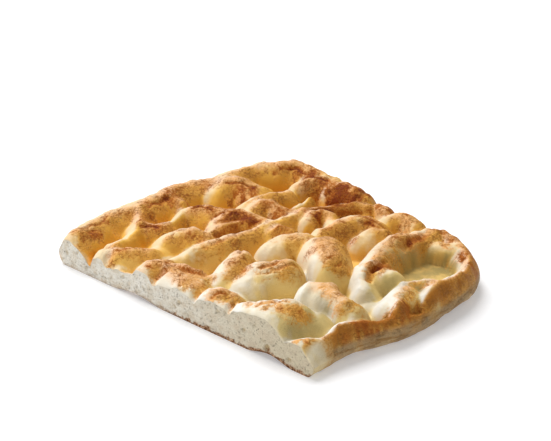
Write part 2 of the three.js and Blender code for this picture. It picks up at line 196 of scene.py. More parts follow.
# Folds in the crust: half-width, depth, how dark (browning and painted shade), and the points that each runs
# through.
FOLDS = [
    (2.6, 3.5, 1.0, (87, 1), (89, -9), (89, -16), (92, -23)),  # under the lip of the bent mound
    (2.6, 2.2, 0.7, (83, 30), (84, 40), (85, 48), (84, 61)),  # between the bent mound and its back
    (1.8, 1.2, 0.6, (61, 41), (76, 31), (82, 34)),  # round the back of the bent mound
    (2.2, 2.2, 0.7, (120, 53), (127, 43)),  # beside the right tip
    (1.6, 1.2, 0.8, (28, -64), (33, -56), (26, -25)),  # on the third round mound
    (1.3, 0.9, 0.6, (34, -65), (40, -56), (43, -43)),  # on the third round mound, lower
    (1.4, 1.1, 0.8, (-6, -60), (0, -56), (-9, -37)),  # on the first round mound
    (1.2, 0.9, 0.6, (1, -69), (4, -62), (8, -59)),  # on the first round mound, lower
    (1.5, 1.1, 0.6, (57, -104), (63, -98), (73, -93)),  # on the large mound at the cut
    (1.3, 1.0, 0.7, (11, 48), (18, 60), (28, 67), (42, 61)),  # on the seventh round mound
    (1.4, 1.3, 0.9, (17, 56), (38, 47), (47, 48), (53, 48)),  # on the seventh round mound, middle
    (1.4, 1.2, 0.8, (36, 39), (42, 44), (51, 44)),  # on the seventh round mound, front
    (1.5, 1.2, 0.9, (-3, 34), (1, 41), (7, 45)),  # over the sixth round mound
    (2.2, 2.0, 0.6, (-34, -96), (-20, -96), (-8, -91), (-3, -89)),  # behind the fourth mound at the cut
    (1.2, 0.9, 0.5, (-31, -101), (-20, -103), (-7, -109)),  # on the fourth mound at the cut
    (1.3, 1.1, 0.9, (22, -113), (22, -109), (24, -104), (28, -101)),  # on the fifth mound at the cut
    (1.3, 0.9, 0.6, (-95, -98), (-79, -102), (-72, -96)),  # on the first mound at the cut
    (1.4, 1.0, 0.8, (-122, -94), (-122, -88), (-120, -82), (-122, -72)),  # on the rim's left
    (1.4, 1.1, 0.8, (-117, -96), (-118, -89), (-114, -86), (-110, -90)),  # on the rim's left, lower
    (1.5, 1.2, 0.9, (-113, -39), (-113, -32), (-109, -28), (-109, -18)),  # on the left back rim
    (1.4, 1.0, 0.8, (-79, -25), (-71, -19), (-62, -16)),  # on the third ridge of the left
    (1.4, 1.1, 0.8, (-55, -18), (-51, -13), (-44, -9)),  # on the third ridge's end
    (1.3, 1.0, 0.8, (-93, -65), (-88, -60), (-81, -57)),  # on the first ridge's bend
    (1.2, 0.8, 0.5, (-28, -62), (-25, -55), (-22, -47)),  # on the long ridge
    (1.4, 1.1, 0.8, (-88, 27), (-82, 32), (-74, 37), (-65, 38)),  # on the back mound
    (1.5, 1.2, 0.8, (-68, 65), (-63, 71), (-55, 79), (-45, 80)),  # on the back rim
    (1.5, 1.2, 0.9, (-45, 76), (-36, 79), (-24, 80)),  # on the back rim's right
]

# Notches that the mounds leave in the top edge of the cut, in the same terms.
CUT_NOTCHES = [
    (2.6, 8, 0.2, (-99, -114), (-101, -104)),
    (3.5, 4, 0.8, (-79, -114), (-80, -106)),
    (2.5, 3, 0.8, (-31, -114), (-30, -102)),
    (2.5, 2.5, 0.6, (7, -114), (6, -106)),
    (2.5, 3.5, 0.4, (38, -114), (37, -105)),
]

# Places where the crust has caught most heat: x, y, radius, how brown.
SCORCHES = [
    (-108, 2, 8, 0.57), (-105, -32, 6, 0.57), (-100, -18, 8, 0.62), (-52, -35, 6, 0.66),
    (-50, -26, 8, 0.66), (-38, -16, 8, 0.62), (-26, -4, 6, 0.62), (-50, -64, 6, 0.57), (-21, 23, 6, 0.57),
    (114, 61, 8, 0.66), (136, 49, 8, 0.76), (-77, -111, 6, 0.52), (-4, 76, 19, 1.19), (7, 78, 15, 1.28),
    (-9, 73, 15, 1.19), (3, 73, 11, 1.14), (32, 72, 9, 0.85), (41, 72, 10, 0.85), (-29, 71, 11, 0.81),
    (-38, 68, 9, 0.76), (-23, 21, 10, 0.71), (-30, 21, 9, 0.76), (-34, -7, 14, 1.23), (-26, -4, 11, 1.23),
    (-42, -10, 11, 0.95), (-40, -4, 10, 1.04), (-53, -16, 9, 0.76), (-76, -22, 11, 0.76),
    (-64, -16, 9, 0.76), (-47, -56, 10, 0.81), (-40, -53, 9, 0.76), (-107, -41, 10, 0.81),
    (-85, -61, 9, 0.76), (-113, -105, 10, 0.85), (-112, -94, 10, 0.9), (-116, -75, 9, 0.76),
    (-109, -3, 10, 0.81), (-105, -18, 10, 0.81), (-106, -31, 10, 0.76), (-72, 29, 14, 1.04),
    (-66, 33, 10, 0.95), (-25, 19, 12, 0.95), (-40, 81, 11, 1.0), (-28, 79, 11, 1.04), (-18, 78, 10, 1.0),
    (42, -26, 8, 0.66), (-57, -21, 9, 0.71), (45, 22, 6, 0.66), (-76, -112, 8, 0.9), (16, -68, 8, 0.81),
    (102, 65, 12, 0.81), (122, 53, 12, 0.9), (34, 70, 8, 0.76), (64, 66, 9, 0.66), (-52, 78, 11, 0.85),
    (-76, 31, 11, 0.76), (-68, 31, 10, 0.71), (-2, -54, 8, 0.71), (6, -69, 8, 0.71), (-21, -53, 10, 0.66),
    (-18, -44, 10, 0.66), (-40, -107, 8, 0.81), (-77, -113, 6, 0.81), (3, -103, 9, 0.71),
    (23, -110, 6, 0.76), (25, -103, 8, 0.66), (72, -96, 6, 0.57), (58, -28, 9, 0.57), (94, -63, 9, 0.57),
    (98, -67, 8, 0.62), (5, 28, 9, 0.95), (27, 26, 8, 0.85), (43, 45, 9, 0.81), (83, 37, 8, 0.76),
    (75, 30, 10, 0.76), (84, 48, 9, 0.66), (87, -10, 6, 0.85), (110, -92, 8, 0.81), (112, -85, 9, 0.9),
    (115, -80, 9, 1.04), (116, -74, 10, 1.14), (119, -67, 10, 1.23), (121, -60, 10, 1.19),
    (124, -53, 9, 1.09), (126, -46, 9, 1.0), (129, -40, 9, 1.04), (130, -32, 9, 1.14), (130, -22, 9, 1.04),
    (134, -18, 8, 0.9), (136, -12, 8, 0.76), (138, 44, 12, 0.95), (134, 38, 9, 0.76), (102, 66, 10, 0.57),
    (96, -112, 6, 0.76), (102, -109, 6, 0.81), (105, -104, 6, 0.81), (108, -97, 6, 0.76),
    (49, -106, 8, 0.66), (58, -106, 8, 0.71), (66, -104, 8, 0.76), (73, -100, 8, 0.81), (79, -97, 8, 0.81),
    (84, -92, 8, 0.76), (88, -87, 6, 0.57), (-61, 76, 10, 0.66), (-48, 82, 10, 0.66), (-71, 69, 10, 0.57),
    (58, 62, 9, 0.57), (-88, -94, 10, 0.57), (-66, -96, 8, 0.66), (36, -51, 10, 0.57), (30, -60, 9, 0.52),
    (42, -46, 9, 0.57),
]

# Pale crust, and painted light on flanks that face the lamp: x, y, radius, how pale.
PALE_AND_LIT_PLACES = [
    (-36, 69, 9, 0.8), (2, 25, 6, 0.7), (36, 39, 6, 0.7), (-10, 69, 6, 0.7), (-26, -71, 6, 0.7),
    (35, -75, 8, 0.6), (81, 16, 8, 0.6), (127, -37, 6, 0.7), (108, -86, 10, 0.8), (134, -10, 8, 0.8),
    (-39, 64, 8, 0.9), (0, 21, 8, 0.9), (-59, -60, 9, 0.8), (-31, -74, 11, 0.85), (15, -32, 11, 0.6),
    (30, -82, 11, 0.7), (34, -67, 12, 0.5), (74, -69, 10, 0.9), (54, 25, 10, 0.9), (80, 12, 10, 0.5),
    (85, 24, 10, 0.5), (88, 37, 9, 0.45), (106, -86, 9, 0.95), (109, -80, 8, 0.9), (109, -70, 6, 0.8),
    (95, -38, 10, 0.8), (116, -41, 10, 0.8), (-123, -61, 11, 0.6), (-127, -75, 11, 0.6),
    (-120, -44, 11, 0.6), (-119, -26, 10, 0.5), (-82, 63, 11, 0.5), (-125, -94, 10, 0.6),
    (130, -12, 9, 0.7),
]

# Painted shade, a dull olive, in hollows and on shaded flanks: x, y, radius, how strong.
PAINTED_SHADE_PLACES = [
    (86, 10, 11, 0.9), (88, 20, 12, 1.0), (90, 33, 12, 0.9), (95, 42, 12, 0.75), (103, 46, 11, 0.6),
    (111, 50, 10, 0.45), (88, -98, 12, 0.6), (86, -106, 11, 0.6), (89, -89, 10, 0.6), (104, 34, 11, 0.9),
    (110, 43, 14, 1.0), (87, -72, 10, 0.8), (105, -17, 9, 0.7), (122, -8, 6, 0.8), (98, 25, 11, 0.8),
    (80, 15, 10, 0.5), (84, 28, 10, 0.5), (90, 4, 11, 0.6), (91, 19, 11, 0.8), (101, -20, 9, 0.5),
    (100, -36, 9, 0.5), (91, -86, 10, 0.5), (94, -88, 9, 0.5),
]

# Places near the edge where the underside stands off the surface: x, y, height, reach.
LIFTS = [(-50, CUT_Y, 3, 27), (74, CUT_Y, 4, 20), (113, -75, 2.5, 20), (136, 14, 4, 30), (-138, -40, 2, 26)]

# ---------- mesh fineness ----------
COLUMNS = 284
ROWS = 220
SIDE_ROWS = 24
EDGE_EASE = 9  # mm next to the natural edge where the rows lie closer together
UNDERSIDE_RINGS = (1.5, 4, 8, 13, 20, LIFT_REACH)
CURVE_STEPS = 12


# ---------- noise ----------
class Noise:
    """Smooth seeded noise between about -1 and 1 over points in millimetres."""

    SIZE = 64

    def __init__(self, seed):
        self.table = np.random.default_rng(seed).uniform(-1, 1, (self.SIZE,) * 3)

    def __call__(self, x, y, z, wavelength):
        total = 0
        p = [np.asarray(c, float) / wavelength for c in np.broadcast_arrays(x, y, z)]
        cell = [np.floor(c).astype(int) for c in p]
        part = [c - i for c, i in zip(p, cell)]
        ease = [f * f * f * (f * (f * 6 - 15) + 10) for f in part]
        for i in (0, 1):
            for j in (0, 1):
                for k in (0, 1):
                    weight = 1
                    for f, side in zip(ease, (i, j, k)):
                        weight = weight * (f if side else 1 - f)
                    at = [(c + side) % self.SIZE for c, side in zip(cell, (i, j, k))]
                    total = total + weight * self.table[at[0], at[1], at[2]]
        return total * 1.5


def smoothstep(low, high, value):
    t = np.clip((value - low) / (high - low), 0, 1)
    return t * t * (3 - 2 * t)


# ---------- curves ----------
def smooth_line(points):
    p = [np.array(q, float) for q in points]
    p = [2 * p[0] - p[1], *p, 2 * p[-1] - p[-2]]
    line = []
    for a, b, c, d in zip(p, p[1:], p[2:], p[3:]):
        for t in np.arange(CURVE_STEPS) / CURVE_STEPS:
            bend = (2 * a - 5 * b + 4 * c - d) * t**2 + (3 * b - a - 3 * c + d) * t**3
            line.append(0.5 * (2 * b + (c - a) * t + bend))
    line.append(p[-2])
    return np.array(line)


def even_pace(line):
    """A function of 0..1 that moves along the line at an even pace."""
    far = np.concatenate([[0], np.cumsum(np.hypot(*np.diff(line, axis=0).T))])

    def place(t):
        s = np.clip(t, 0, 1) * far[-1]
        return np.stack([np.interp(s, far, line[:, 0]), np.interp(s, far, line[:, 1])], -1)

    return place


def to_piece(x, y, a, b):
    """How far along the piece a-b the nearest place to each point is, and the distance to it."""
    dx, dy = b[0] - a[0], b[1] - a[1]
    t = np.clip(((x - a[0]) * dx + (y - a[1]) * dy) / (dx * dx + dy * dy), 0, 1)
    return t, np.hypot(x - a[0] - t * dx, y - a[1] - t * dy)


edge_line = smooth_line(EDGE)
right_side = even_pace(edge_line[: RIGHT_CORNER * CURVE_STEPS + 1])
back_side = even_pace(edge_line[RIGHT_CORNER * CURVE_STEPS : LEFT_CORNER * CURVE_STEPS + 1])
left_side = even_pace(edge_line[LEFT_CORNER * CURVE_STEPS :])


def edge_distance(x, y):
    best = np.full(x.shape, 1e9)
    for a, b in zip(edge_line, edge_line[1:]):
        best = np.minimum(best, to_piece(x, y, a, b)[1])
    return best


# ---------- the form ----------
def mound_height(x, y, mound):
    half_width, pointedness, *crest = mound
    best = np.zeros(x.shape)
    for a, b in zip(crest, crest[1:]):
        t, d = to_piece(x, y, a, b)
        far = d / (half_width * MOUND_SPREAD)
        rise = a[2] + (b[2] - a[2]) * t - DIMPLE_Z
        best = np.maximum(best, rise * np.clip(1 - far**2, 0, 1) ** pointedness)
    return best


def relief_height(x, y):
    joined = sum(mound_height(x, y, m) ** MOUND_BLEND for m in MOUNDS.values())
    return DIMPLE_Z + joined ** (1 / MOUND_BLEND)


def underside_height(x, y):
    low = np.zeros(x.shape)
    for lift_x, lift_y, height, reach in LIFTS:
        far = np.hypot(x - lift_x, y - lift_y) / reach
        low = np.maximum(low, height * np.clip(1 - far**2, 0, 1) ** 2)
    return low


# ---------- the net of the top ----------
def eased_steps(length, count, ease_start, ease_end):
    """count + 1 places from 0 to 1, closer together at the ends that are eased."""
    t = np.linspace(0, 1, count + 1)
    spacing = np.ones(count)
    middle = (t[1:] + t[:-1]) / 2 * length
    if ease_start:
        spacing *= 0.25 + 0.75 * smoothstep(0, EDGE_EASE, middle)
    if ease_end:
        spacing *= 0.25 + 0.75 * smoothstep(0, EDGE_EASE, length - middle)
    places = np.concatenate([[0], np.cumsum(spacing)])
    return places / places[-1]


cut_width = right_side(0.0)[0] - left_side(1.0)[0]
loaf_depth = back_side(0.5)[1] - CUT_Y
columns = eased_steps(cut_width, COLUMNS, True, True)
rows = eased_steps(loaf_depth, ROWS, False, True)


def net_places():
    """x and y of the top's net: rows from the cut to the back, columns from left to right."""
    u, v = columns[None, :, None], rows[:, None, None]
    left, right = left_side(1 - rows)[:, None], right_side(rows)[:, None]
    cut = np.stack([left_side(1.0)[0] + columns * cut_width, np.full(columns.shape, float(CUT_Y))], -1)[None]
    back = back_side(1 - columns)[None]
    ends = [left_side(1.0), right_side(0.0), left_side(0.0), right_side(1.0)]
    corners = (ends[0] * (1 - u) + ends[1] * u) * (1 - v) + (ends[2] * (1 - u) + ends[3] * u) * v
    return left * (1 - u) + right * u + cut * (1 - v) + back * v - corners


CREST_REACH = 9  # mm over which the top is smoothed to tell what stands out of it
WARP = Noise(11)
BUMPS = Noise(23)
WRINKLES = Noise(37)


def blurred(field, cells):
    """The field smoothed over a number of cells both ways."""
    reach = int(cells * 2.5)
    kernel = np.exp(-0.5 * (np.arange(-reach, reach + 1) / cells) ** 2)
    kernel /= kernel.sum()
    for axis in (0, 1):
        first, last = (np.repeat(field.take([end], axis), reach, axis) for end in (0, -1))
        padded = np.concatenate([first, field, last], axis)
        field = np.apply_along_axis(lambda line: np.convolve(line, kernel, "valid"), axis, padded)
    return field


def fold_depth(x, y):
    """How deep the folds are at each place, and how much they darken it."""
    deep = np.zeros(x.shape)
    tone = np.zeros(x.shape)
    for half_width, depth, dark, *line in FOLDS + CUT_NOTCHES:
        away = np.min([to_piece(x, y, a, b)[1] for a, b in zip(line, line[1:])], 0)
        profile = np.clip(1 - (away / (half_width * 1.6)) ** 2, 0, 1) ** 2
        deep = np.maximum(deep, depth * profile)
        tone = np.maximum(tone, dark * profile)
    return deep, tone


class Skin:
    """Points and four-sided faces of one closed mesh, gathered net by net."""

    def __init__(self):
        self.points = []
        self.faces = []
        self.count = 0

    def add(self, x, y, z):
        """Adds points and gives back their numbers, in the shape of x."""
        x, y, z = np.broadcast_arrays(np.asarray(x, float), y, z)
        self.points.append(np.stack([x, y, z], -1).reshape(-1, 3))
        numbers = self.count + np.arange(x.size).reshape(x.shape)
        self.count += x.size
        return numbers

    def join(self, net):
        """Faces over a net of point numbers, facing up where its rows run right, one behind the other."""
        quads = np.stack([net[:-1, :-1], net[:-1, 1:], net[1:, 1:], net[1:, :-1]], -1)
        self.faces.append(quads.reshape(-1, 4))


def build_top(skin):
    """The top's points, and the values that its colours need, as nets like its own."""
    places = net_places()
    x, y = places[..., 0], places[..., 1]
    warp_x = 1.5 * WARP(x, y, 5, 19) + 0.7 * WARP(x, y, 40, 8)
    warp_y = 1.5 * WARP(x, y, 90, 19) + 0.7 * WARP(x, y, 130, 8)
    relief = relief_height(x + warp_x, y + warp_y)
    standing = relief - blurred(relief, CREST_REACH * COLUMNS / cut_width)
    crest = smoothstep(-1.5, 4, standing)
    lumps = 0.45 * BUMPS(x, y, 0, 9) + (0.12 + 0.3 * crest) * BUMPS(x, y, 50, 4.2)
    blisters = np.abs(BUMPS(x, y, 90, 2.9))
    folds = 1 - np.abs(WRINKLES(x / 5, y / 5, relief + lumps, 2.6))
    creases = folds**5 * smoothstep(0.0, 0.5, WRINKLES(x, y, 200, 16) + 0.35 * crest - 0.1)
    folded, fold_tone = fold_depth(x + warp_x, y + warp_y)
    relief = relief + lumps + 0.35 * crest * blisters - 0.7 * crest * creases - folded
    inside = np.clip(edge_distance(x, y) / RIM_RADIUS, 0, 1)
    z = WAIST_Z + (relief - WAIST_Z) * np.sqrt(np.clip(1 - (1 - inside) ** 2, 0, 1))
    from_cut = np.clip((y - CUT_Y) / CUT_ROUNDING, 0, 1)
    z = z - CUT_DROP * (1 - from_cut) ** 2 * smoothstep(WAIST_Z, WAIST_Z + 8, z)
    return skin.add(x, y, z), relief, inside, crest * creases + 1.2 * fold_tone


def build_side(skin, waist):
    """Rows of points from the widest line down to the base, the widest line first."""
    line = np.concatenate(skin.points)[waist][:, :2]
    along = np.zeros_like(line)
    along[1:-1] = line[2:] - line[:-2]
    inward = np.stack([-along[:, 1], along[:, 0]], -1)
    inward[0], inward[-1] = (-1, 0), (1, 0)
    inward /= np.linalg.norm(inward, axis=1, keepdims=True)
    ends = np.ones(len(waist))
    ends[0] = ends[-1] = 0
    side = [waist]
    for k in range(1, SIDE_ROWS + 1):
        turn = k / SIDE_ROWS * math.pi / 2
        x, y = (line + inward * BASE_INSET * (1 - math.cos(turn))).T
        low = underside_height(x, y)
        z = low + (WAIST_Z - low) * (1 - math.sin(turn))
        rough = 0.35 * BUMPS(x, y, z, 6) + 0.2 * BUMPS(x, y, z + 70, 2.5) - 0.3
        rough = rough * ends * math.sin(2 * turn)
        side.append(skin.add(x - inward[:, 0] * rough, y - inward[:, 1] * rough, z))
    return np.array(side)


def build_cut(skin, top_row, left_rows, right_rows, base_left, base_right):
    """The flat cut face between the top's first row and the base, with its crumb pressed in a little."""
    points = np.concatenate(skin.points)
    top = points[top_row]
    across = (top[:, 0] - top[0, 0]) / cut_width
    base_x = base_left + (base_right - base_left) * across
    base = np.stack([base_x, underside_height(base_x, np.full(base_x.shape, float(CUT_Y)))], -1)
    net = [top_row]
    for k in range(1, SIDE_ROWS + 1):
        t = k / SIDE_ROWS
        row = top[:, [0, 2]] * (1 - t) + base * t
        for rows_there, share in ((left_rows, 1 - across), (right_rows, across)):
            ends = points[rows_there][:, [0, 2]]
            row = row + share[:, None] * (ends[k] - ends[0] * (1 - t) - ends[-1] * t)
        x, z = row.T
        inset = crumb_inset(x, z) if k < SIDE_ROWS else 0 * x
        numbers = skin.add(x[1:-1], CUT_Y + inset[1:-1], z[1:-1])
        net.append(np.concatenate([[left_rows[k]], numbers, [right_rows[k]]]))
    return np.array(net)


# Holes large enough to see in the crumb: x, z, half-width, half-height, depth.
HOLES = [
    (71, 8, 3.6, 2.6, 2.6), (-64, 12, 2.4, 1.6, 1.6), (-43, 12, 2, 1.6, 1.4), (-8, 12, 2.6, 2, 1.8),
    (-12, 7, 2.2, 1.6, 1.6), (0, 5, 2.2, 1.4, 1.5), (-86, 6, 2.2, 1.2, 1.2), (95, 14, 2, 1.4, 1.0),
]
SMALL_PORES = 240
PORES_BETWEEN = (-128, 108)
LOWEST_PORE = 1.5
PORES_UP_TO = 24  # above the lowest
CRUMB = Noise(51)


def add_small_pores():
    """Seeded pores scattered over the cut, flatter than wide, most of them low in the crumb."""
    random = np.random.default_rng(61)
    for _ in range(SMALL_PORES):
        half_width = random.uniform(0.5, 1.0) + 1.1 * random.random() ** 4
        height = LOWEST_PORE + PORES_UP_TO * random.random() ** 1.3
        place = random.uniform(*PORES_BETWEEN)
        half_height = half_width * random.uniform(0.6, 0.9)
        HOLES.append((place, height, half_width, half_height, half_width * 0.9))


add_small_pores()


def crumb_inset(x, z):
    """How far the torn crumb stands in from the plane of the cut."""
    inset = 0.3 + 0.25 * CRUMB(x, 0, z, 7) + 0.2 * CRUMB(x, 30, z, 2.2)
    x, z = x + 0.9 * CRUMB(x, 60, z, 3), z + 0.9 * CRUMB(x, 90, z, 3)
    for hole_x, hole_z, half_width, half_height, hole_depth in HOLES:
        far = np.hypot((x - hole_x) / half_width, (z - hole_z) / half_height)
        inset = np.maximum(inset, hole_depth * np.clip(1 - far**2, 0, 1) ** 0.5)
    return np.clip(inset, 0, None)


def build_underside(skin, outline):
    """Rings inside the base, flat where no lift reaches, and a middle point."""
    points = np.concatenate(skin.points)
    x, y = points[outline][:, 0], points[outline][:, 1]
    rings = [outline]
    for reach in UNDERSIDE_RINGS:
        keep = 1 - reach / np.hypot(x, y)
        low = underside_height(x * keep, y * keep) if reach < LIFT_REACH else 0
        rings.append(skin.add(x * keep, y * keep, low))
    net = np.array(rings)
    skin.join(np.concatenate([net, net[:, :1]], 1)[::-1])
    middle = skin.add(0, 0, 0)
    last = net[-1]
    return np.stack([last, np.full(last.shape, int(middle)), np.roll(last, -1)], -1)


def build_loaf():
    skin = Skin()
    net, relief, inside, creases = build_top(skin)
    skin.join(net)
    waist = np.concatenate([net[:, -1], net[-1, -2::-1], net[-2::-1, 0]])
    side = build_side(skin, waist)
    skin.join(side[::-1])
    points = np.concatenate(skin.points)
    base = side[-1]
    cut = build_cut(skin, net[0], side[:, -1], side[:, 0], points[base[-1], 0], points[base[0], 0])
    skin.join(cut[::-1])
    fan = build_underside(skin, np.concatenate([base, cut[-1][1:-1]]))

    points = np.concatenate(skin.points)
    quads = np.concatenate(skin.faces)
    low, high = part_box("bread")
    middle = (np.array(low) + np.array(high)) / 2
    own_low, own_high = points.min(0), points.max(0)
    shift = np.array([middle[0], middle[1], 0]) - np.append((own_low + own_high)[:2] / 2, 0) * MM
    mesh = bpy.data.meshes.new("bread_loaf")
    mesh.from_pydata((points * MM + shift).tolist(), [], quads.tolist() + fan.tolist())
    mesh.polygons.foreach_set("use_smooth", np.ones(len(mesh.polygons), bool))
    mesh.validate()

    paint(mesh, points, net, relief, inside, creases, side, cut)
    loaf = bpy.data.objects.new("bread_loaf", mesh)
    bpy.context.scene.collection.objects.link(loaf)
    first_cut_face = (net.shape[0] - 1) * (net.shape[1] - 1) + (side.shape[0] - 1) * (side.shape[1] - 1)
    cut_faces = (cut.shape[0] - 1) * (cut.shape[1] - 1)
    slots = np.zeros(len(mesh.polygons), int)
    slots[first_cut_face : first_cut_face + cut_faces] = 1
    mesh.polygons.foreach_set("material_index", slots)
    return loaf


TONE = Noise(73)
FALL_REACH = 2  # mm either side over which the top's fall towards the right is measured
# the dark line along the base is baked crust and painted contact shadow
BASE_EDGE = 4  # mm above the base that its baked line may reach
UNDERSIDE_BROWN = 0.62


def browning(x, y):
    """How browned the top is: each crest's own level, on the mound that stands highest there."""
    highest = relief_height(x, y) - DIMPLE_Z
    brown = np.zeros(x.shape)
    for name, mound in MOUNDS.items():
        rise = mound_height(x, y, mound)
        crown = max(point[2] for point in mound[2:]) - DIMPLE_Z
        near_crest = smoothstep(0.48, 1.0, rise / crown)
        on_top = smoothstep(0.7, 0.97, rise / np.maximum(highest, 1e-3))
        brown = np.maximum(brown, BROWNED[name] * near_crest * on_top)
    return brown


def place_levels(places, x, y, seed):
    """The level of the nearest of some round places, fading out over uneven edges."""
    noise = Noise(seed)
    ragged = 0.22 * noise(x, y, 0, 6) + 0.14 * noise(x, y, 70, 2)
    best = np.zeros(x.shape)
    for place_x, place_y, radius, level in places:
        far = np.hypot(x - place_x, y - place_y) / radius + ragged
        best = np.maximum(best, level * (1 - smoothstep(-0.1, 1.3, far)))
    return best


def pale_corner(x, y):
    """1 at the right end of the cut, where the side has stayed pale, and 0 elsewhere."""
    return (1 - smoothstep(-108, -88, y)) * smoothstep(90, 105, x)


def top_values(x, y, z, relief, inside, creases, back_left):
    """What the materials read on the top, for its own nets of points."""
    right = smoothstep(-40, 60, x)
    fall = relief_height(x - FALL_REACH, y) - relief_height(x + FALL_REACH, y)
    fall = fall / (2 * FALL_REACH)
    # pale crust, and painted light on flanks that face the lamp
    pale = place_levels(PALE_AND_LIT_PLACES, x, y, 79)
    ragged = 2.5 * TONE(x, y, 90, 7) + 1.5 * TONE(x, y, 30, 3)
    from_cut = 0.45 + 0.55 * smoothstep(0, 6, y - CUT_Y + ragged)

    # the browned caps and shoulder, and single scorched places
    shoulder = (1 - smoothstep(0.45, 1.1, inside)) * (0.45 + 0.2 * right * smoothstep(9, 13, z))
    caps = browning(x - BROWNING_SHIFT[0], y - BROWNING_SHIFT[1])
    baked = np.maximum(caps, shoulder) * (1 - pale)
    baked = np.maximum(baked, place_levels(SCORCHES, x, y, 67))
    # folds and creases darken the brown, partly browning and partly painted shade
    brown = (baked + 0.35 * creases) * from_cut

    # the smooth gold band round the right shoulder, and the dark strip along it
    band = right * (1 - smoothstep(0.75, 1.2, inside))
    band *= np.maximum(smoothstep(-0.5, -0.1, fall), 1 - smoothstep(0.45, 0.75, inside))
    strip = band * smoothstep(0.0, 0.25, inside) * (1 - smoothstep(0.5, 0.95, inside))

    # painted shade on flanks that fall right, away from the lamp; in the dimples own gold and painted shade
    gold_and_shade = np.maximum(smoothstep(-0.35, 0.75, fall), 0.8 * (1 - smoothstep(14, 21, relief)))
    gold_and_shade *= from_cut * (1 - 0.8 * pale)
    gold_and_shade = np.maximum(gold_and_shade, 0.85 * band)

    # painted sheen on the browned tops that face the lamp, but not on the right shoulder
    crown = smoothstep(0.35, 0.55, browning(x, y)) * smoothstep(0.5, -0.1, fall)
    crown *= 1 - right * (1 - smoothstep(0.6, 1.0, inside))

    corner = pale_corner(x, y) * (1 - smoothstep(0.45, 0.9, inside))
    return {
        "brown": brown * (1 - 0.9 * corner),
        "gold_and_shade": gold_and_shade * (1 - 0.5 * corner),
        "band": band,
        "strip": strip * (1 - corner),
        "crown": crown,
        # painted shade: deeper gold on the back left's steep slopes that fall away from the lamp
        "deep": back_left * smoothstep(0.15, 1.1, fall),
        "painted_shade": place_levels(PAINTED_SHADE_PLACES, x, y, 71),
        "wall": (1 - smoothstep(0.1, 0.45, inside)) * (1 - smoothstep(12, 17, z)),
    }


def paint(mesh, points, net, relief, inside, creases, side, cut):
    """Per-point values that the materials read."""
    x, y, z = points.T
    back_left = smoothstep(-110, 10, (y - x) / math.sqrt(2))
    corner = pale_corner(x, y)
    names = ("brown", "gold_and_shade", "band", "strip", "crown", "deep", "painted_shade", "wall", "depth")
    values = {name: np.zeros(len(points)) for name in names}
    top = top_values(x[net], y[net], z[net], relief, inside, creases, back_left[net])
    for name, value in top.items():
        values[name][net] = value

    low = side[1:]
    fading = np.linspace(0.45, 0.3, len(low))[:, None]
    values["brown"][low] = fading * (1 - 0.7 * corner[low])
    values["gold_and_shade"][low] = 0.6
    values["wall"][low] = 1
    values["wall"] *= 1 - 0.85 * corner
    crumb = cut[1:-1, 1:-1]
    # how far in the crumb stands, drawn darker in the crumb material as painted shade in its holes
    values["depth"][crumb] = smoothstep(0.6, 2.2, y[crumb] - CUT_Y)

    underside = np.ones(len(points), bool)
    for part in (net, side, cut):
        underside[part.ravel()] = False
    brown = values["brown"]
    brown[underside] = UNDERSIDE_BROWN
    patches = 0.09 * TONE(x, y, z, 14) + 0.07 * TONE(x, y, z + 60, 4)
    values["brown"] = brown * (0.9 + 0.2 * back_left) + patches * smoothstep(0.05, 0.4, brown)
    values["back_left"] = back_left
    values["near_base"] = np.clip(1 - (z - underside_height(x, y)) / BASE_EDGE, 0, 1)
    values["right"] = smoothstep(-60, 110, x)
    values["left_end"] = smoothstep(-127, -136, x)
    for name, value in values.items():
        attribute = mesh.attributes.new(name, "FLOAT", "POINT")
        attribute.data.foreach_set("value", value.astype(np.float32))


